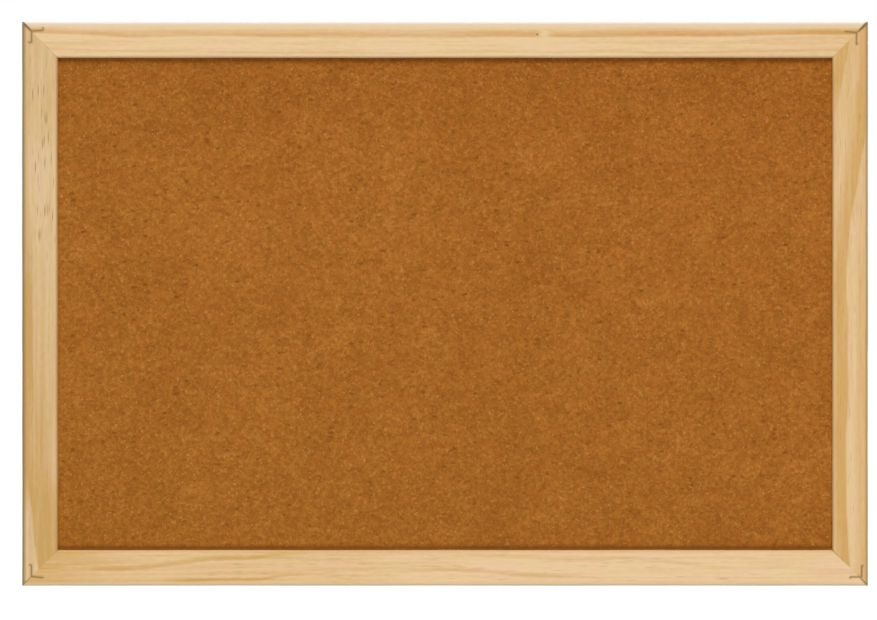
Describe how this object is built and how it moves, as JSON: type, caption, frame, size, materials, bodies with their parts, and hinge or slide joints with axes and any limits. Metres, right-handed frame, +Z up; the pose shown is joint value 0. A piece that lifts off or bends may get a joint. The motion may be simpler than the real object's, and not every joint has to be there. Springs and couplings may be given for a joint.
{
  "type": "cork board",
  "caption": "Wall-hung cork pinboard in a mitred pine frame, its laminated panel held in a groove, with corner nails and two swinging ring hangers on the back.",
  "frame": {"origin": "middle of the top rail's back face, the face that lies against the wall", "axes": "+X along the board's width, to the right of a person who looks at the cork; +Y out of the back, into the wall; +Z up"},
  "size_m": [0.9, 0.021, 0.6],
  "materials": {
    "pine": "satin",
    "cork": "matte",
    "softboard": "matte",
    "kraft": "matte",
    "nail_steel": "satin",
    "zinc": "satin"
  },
  "bodies": {
    "root": {"top_rail": "pine", "bottom_rail": "pine", "left_stile": "pine", "right_stile": "pine", "cork_sheet": "cork", "core_board": "softboard", "back_liner": "kraft", "front_nail_top_left": "nail_steel", "front_nail_top_right": "nail_steel", "front_nail_bottom_left": "nail_steel", "front_nail_bottom_right": "nail_steel", "back_nail_top_left": "nail_steel", "back_nail_top_right": "nail_steel", "back_nail_bottom_left": "nail_steel", "back_nail_bottom_right": "nail_steel", "left_hanger_strap": "zinc", "left_hanger_screw_upper": "zinc", "left_hanger_screw_lower": "zinc", "right_hanger_strap": "zinc", "right_hanger_screw_upper": "zinc", "right_hanger_screw_lower": "zinc"},
    "left_ring": {"left_hanger_ring": "zinc"},
    "right_ring": {"right_hanger_ring": "zinc"}
  },
  "joints": [
    {"name": "left_ring_swing", "type": "hinge", "parent": "root", "child": "left_ring", "pos_m": [-0.431, 0.0025, -0.071], "axis": [1, 0, 0], "range_deg": [0, 180]},
    {"name": "right_ring_swing", "type": "hinge", "parent": "root", "child": "right_ring", "pos_m": [0.431, 0.0025, -0.071], "axis": [1, 0, 0], "range_deg": [0, 180]}
  ]
}
